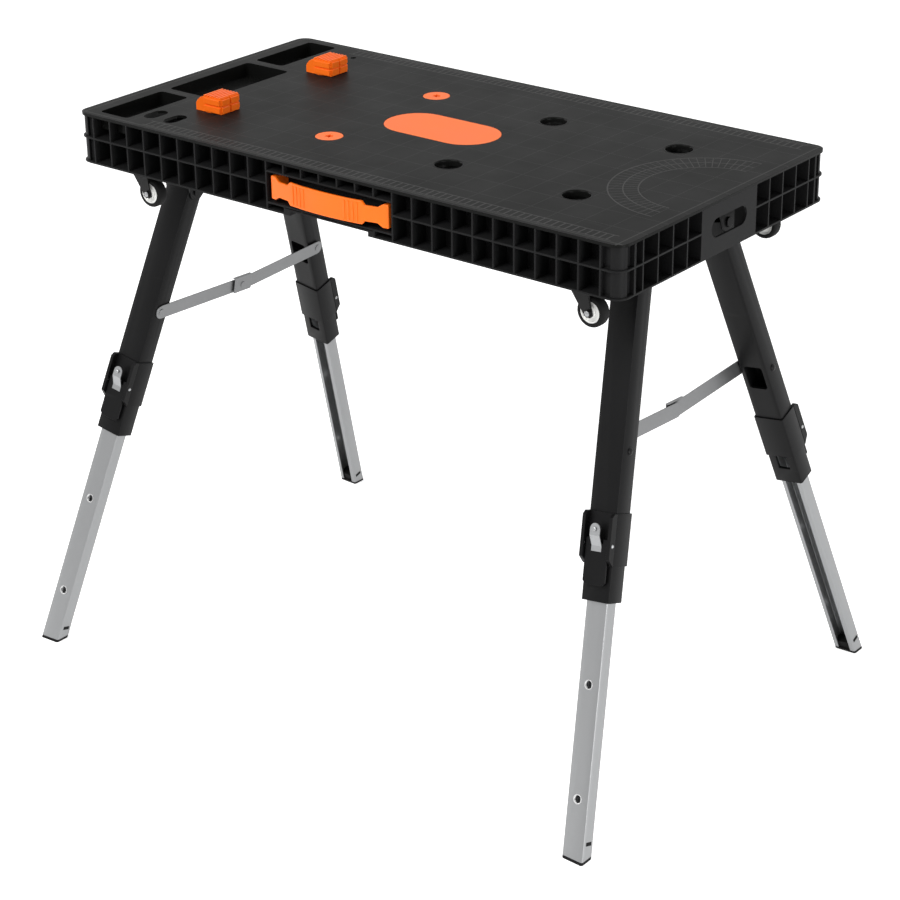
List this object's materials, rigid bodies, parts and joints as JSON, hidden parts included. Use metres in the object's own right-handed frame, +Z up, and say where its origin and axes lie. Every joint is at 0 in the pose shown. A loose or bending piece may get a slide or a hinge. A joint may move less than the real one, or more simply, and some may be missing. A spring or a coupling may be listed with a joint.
{
  "type": "folding_workbench",
  "caption": "Folding workbench with a ribbed black moulded top, tool trays, orange bench dogs and carry handle, swivel castors and telescopic folding legs.",
  "frame": {"origin": "On the floor plane, under the middle of the top.", "axes": "+X along the long front edge to the right, +Y to the back, +Z up."},
  "size_m": [0.9744, 0.6976, 0.799],
  "materials": {
    "black_plastic": "moulded, fine grain",
    "black_paint": "satin powder coat",
    "orange_plastic": "smooth moulded",
    "salmon_plastic": "smooth moulded",
    "satin_aluminium": "satin drawn",
    "satin_steel": "satin plated",
    "black_steel": "black coated",
    "white_plastic": "smooth moulded",
    "black_rubber": "matte"
  },
  "bodies": {
    "bench_top": {"top_deck": "black_plastic", "oval_insert": "salmon_plastic", "front_rail": "black_plastic", "back_rail": "black_plastic", "left_end_rail": "black_plastic", "right_end_rail": "black_plastic", "carry_handle": "orange_plastic", "hinge_bracket_left": "black_paint", "hinge_bracket_right": "black_paint"},
    "dog_front": {"bench_dog_front": "orange_plastic"},
    "plug_front": {"hole_plug_front": "salmon_plastic"},
    "dog_back": {"bench_dog_back": "orange_plastic"},
    "plug_back": {"hole_plug_back": "salmon_plastic"},
    "castor_front_left": {"castor_fork_front_left": "black_steel"},
    "wheel_front_left": {"castor_hub_front_left": "white_plastic", "castor_tyre_front_left": "black_rubber"},
    "castor_front_right": {"castor_fork_front_right": "black_steel"},
    "wheel_front_right": {"castor_hub_front_right": "white_plastic", "castor_tyre_front_right": "black_rubber"},
    "castor_back_left": {"castor_fork_back_left": "black_steel"},
    "wheel_back_left": {"castor_hub_back_left": "white_plastic", "castor_tyre_back_left": "black_rubber"},
    "castor_back_right": {"castor_fork_back_right": "black_steel"},
    "wheel_back_right": {"castor_hub_back_right": "white_plastic", "castor_tyre_back_right": "black_rubber"},
    "frame_left": {"leg_yoke_front_left": "black_paint", "leg_yoke_back_left": "black_paint", "leg_pivot_bolt_front_left": "satin_steel", "leg_pivot_bolt_back_left": "satin_steel"},
    "leg_front_left": {"upper_leg_front_left": "black_paint", "latch_bracket_front_left": "black_paint"},
    "latch_front_left": {"latch_lever_front_left": "satin_steel"},
    "foot_front_left": {"lower_leg_front_left": "satin_aluminium", "foot_pad_front_left": "black_rubber"},
    "leg_back_left": {"upper_leg_back_left": "black_paint", "latch_bracket_back_left": "black_paint"},
    "latch_back_left": {"latch_lever_back_left": "satin_steel"},
    "foot_back_left": {"lower_leg_back_left": "satin_aluminium", "foot_pad_back_left": "black_rubber"},
    "stay_front_left": {"stay_strap_front_left": "satin_steel", "stay_sleeve_left": "satin_steel"},
    "stay_back_left": {"stay_strap_back_left": "satin_steel"},
    "frame_right": {"leg_yoke_front_right": "black_paint", "leg_yoke_back_right": "black_paint", "leg_pivot_bolt_front_right": "satin_steel", "leg_pivot_bolt_back_right": "satin_steel"},
    "leg_front_right": {"upper_leg_front_right": "black_paint", "latch_bracket_front_right": "black_paint"},
    "latch_front_right": {"latch_lever_front_right": "satin_steel"},
    "foot_front_right": {"lower_leg_front_right": "satin_aluminium", "foot_pad_front_right": "black_rubber"},
    "leg_back_right": {"upper_leg_back_right": "black_paint", "latch_bracket_back_right": "black_paint"},
    "latch_back_right": {"latch_lever_back_right": "satin_steel"},
    "foot_back_right": {"lower_leg_back_right": "satin_aluminium", "foot_pad_back_right": "black_rubber"},
    "stay_front_right": {"stay_strap_front_right": "satin_steel", "stay_sleeve_right": "satin_steel"},
    "stay_back_right": {"stay_strap_back_right": "satin_steel"}
  },
  "joints": [
    {"name": "dog_lift_front", "type": "slide", "parent": "bench_top", "child": "dog_front", "axis": [0, 0, 1], "range_m": [0, 0.05]},
    {"name": "plug_lift_front", "type": "slide", "parent": "bench_top", "child": "plug_front", "axis": [0, 0, 1], "range_m": [0, 0.05]},
    {"name": "dog_lift_back", "type": "slide", "parent": "bench_top", "child": "dog_back", "axis": [0, 0, 1], "range_m": [0, 0.05]},
    {"name": "plug_lift_back", "type": "slide", "parent": "bench_top", "child": "plug_back", "axis": [0, 0, 1], "range_m": [0, 0.05]},
    {"name": "castor_swivel_front_left", "type": "hinge", "parent": "bench_top", "child": "castor_front_left", "pos_m": [-0.368, -0.195, 0.707], "axis": [0, 0, 1], "continuous": true},
    {"name": "wheel_spin_front_left", "type": "hinge", "parent": "castor_front_left", "child": "wheel_front_left", "pos_m": [-0.351, -0.195, 0.671], "axis": [0, 1, 0], "continuous": true},
    {"name": "castor_swivel_front_right", "type": "hinge", "parent": "bench_top", "child": "castor_front_right", "pos_m": [0.368, -0.195, 0.707], "axis": [0, 0, 1], "continuous": true},
    {"name": "wheel_spin_front_right", "type": "hinge", "parent": "castor_front_right", "child": "wheel_front_right", "pos_m": [0.385, -0.195, 0.671], "axis": [0, 1, 0], "continuous": true},
    {"name": "castor_swivel_back_left", "type": "hinge", "parent": "bench_top", "child": "castor_back_left", "pos_m": [-0.368, 0.195, 0.707], "axis": [0, 0, 1], "continuous": true},
    {"name": "wheel_spin_back_left", "type": "hinge", "parent": "castor_back_left", "child": "wheel_back_left", "pos_m": [-0.351, 0.195, 0.671], "axis": [0, 1, 0], "continuous": true},
    {"name": "castor_swivel_back_right", "type": "hinge", "parent": "bench_top", "child": "castor_back_right", "pos_m": [0.368, 0.195, 0.707], "axis": [0, 0, 1], "continuous": true},
    {"name": "wheel_spin_back_right", "type": "hinge", "parent": "castor_back_right", "child": "wheel_back_right", "pos_m": [0.385, 0.195, 0.671], "axis": [0, 1, 0], "continuous": true},
    {"name": "fold_left", "type": "hinge", "parent": "bench_top", "child": "frame_left", "pos_m": [-0.38286, 0, 0.67353], "axis": [0, -1, 0], "range_deg": [0, 98.13]},
    {"name": "leg_swing_front_left", "type": "hinge", "parent": "frame_left", "child": "leg_front_left", "pos_m": [-0.37805, -0.10638, 0.65062], "axis": [0.9899, 0, -0.1414], "range_deg": [0, 23.86]},
    {"name": "leg_height_front_left", "type": "slide", "parent": "leg_front_left", "child": "foot_front_left", "axis": [0.1334, 0.3311, 0.9341], "range_m": [0, 0.29]},
    {"name": "latch_press_front_left", "type": "hinge", "parent": "leg_front_left", "child": "latch_front_left", "pos_m": [-0.41686, -0.2244, 0.37898], "axis": [-0.9899, 0, 0.1414], "range_deg": [0, 12], "stiffness_Nm_per_rad": 0.6},
    {"name": "leg_swing_back_left", "type": "hinge", "parent": "frame_left", "child": "leg_back_left", "pos_m": [-0.37805, 0.10638, 0.65062], "axis": [-0.9899, 0, 0.1414], "range_deg": [0, 23.86]},
    {"name": "leg_height_back_left", "type": "slide", "parent": "leg_back_left", "child": "foot_back_left", "axis": [0.1334, -0.3311, 0.9341], "range_m": [0, 0.29]},
    {"name": "latch_press_back_left", "type": "hinge", "parent": "leg_back_left", "child": "latch_back_left", "pos_m": [-0.41686, 0.2244, 0.37898], "axis": [0.9899, 0, -0.1414], "range_deg": [0, 12], "stiffness_Nm_per_rad": 0.6},
    {"name": "stay_rivet_left", "type": "hinge", "parent": "leg_front_left", "child": "stay_front_left", "pos_m": [-0.40216, -0.1662, 0.48188], "axis": [0.9899, 0, -0.1414], "range_deg": [0, 35.28]},
    {"name": "stay_knee_left", "type": "hinge", "parent": "stay_front_left", "child": "stay_back_left", "pos_m": [-0.40329, 0, 0.47396], "axis": [-0.9899, 0, 0.1414], "range_deg": [0, 118.22]},
    {"name": "fold_right", "type": "hinge", "parent": "bench_top", "child": "frame_right", "pos_m": [0.37563, 0, 0.72413], "axis": [0, 1, 0], "range_deg": [0, 98.13]},
    {"name": "leg_swing_front_right", "type": "hinge", "parent": "frame_right", "child": "leg_front_right", "pos_m": [0.37083, -0.08845, 0.70122], "axis": [0.9899, 0, 0.1414], "range_deg": [0, 22.86]},
    {"name": "leg_height_front_right", "type": "slide", "parent": "leg_front_right", "child": "foot_front_right", "axis": [-0.1334, 0.3311, 0.9341], "range_m": [0, 0.29]},
    {"name": "latch_press_front_right", "type": "hinge", "parent": "leg_front_right", "child": "latch_front_right", "pos_m": [0.41686, -0.2244, 0.37898], "axis": [-0.9899, 0, -0.1414], "range_deg": [0, 12], "stiffness_Nm_per_rad": 0.6},
    {"name": "leg_swing_back_right", "type": "hinge", "parent": "frame_right", "child": "leg_back_right", "pos_m": [0.37083, 0.08845, 0.70122], "axis": [-0.9899, 0, -0.1414], "range_deg": [0, 22.86]},
    {"name": "leg_height_back_right", "type": "slide", "parent": "leg_back_right", "child": "foot_back_right", "axis": [-0.1334, -0.3311, 0.9341], "range_m": [0, 0.29]},
    {"name": "latch_press_back_right", "type": "hinge", "parent": "leg_back_right", "child": "latch_back_right", "pos_m": [0.41686, 0.2244, 0.37898], "axis": [0.9899, 0, 0.1414], "range_deg": [0, 12], "stiffness_Nm_per_rad": 0.6},
    {"name": "stay_rivet_right", "type": "hinge", "parent": "leg_front_right", "child": "stay_front_right", "pos_m": [0.40216, -0.1662, 0.48188], "axis": [0.9899, 0, 0.1414], "range_deg": [0, 43.49]},
    {"name": "stay_knee_right", "type": "hinge", "parent": "stay_front_right", "child": "stay_back_right", "pos_m": [0.40329, 0, 0.47396], "axis": [-0.9899, 0, -0.1414], "range_deg": [0, 132.63]}
  ],
  "couplings": [
    {"joint": "leg_swing_front_left", "follows": "fold_left", "ratio": 0.2429},
    {"joint": "leg_swing_back_left", "follows": "fold_left", "ratio": 0.2429},
    {"joint": "stay_rivet_left", "follows": "fold_left", "ratio": 0.35937},
    {"joint": "stay_knee_left", "follows": "fold_left", "ratio": 1.2045},
    {"joint": "leg_swing_front_right", "follows": "fold_right", "ratio": 0.23271},
    {"joint": "leg_swing_back_right", "follows": "fold_right", "ratio": 0.23271},
    {"joint": "stay_rivet_right", "follows": "fold_right", "ratio": 0.44298},
    {"joint": "stay_knee_right", "follows": "fold_right", "ratio": 1.3514}
  ]
}
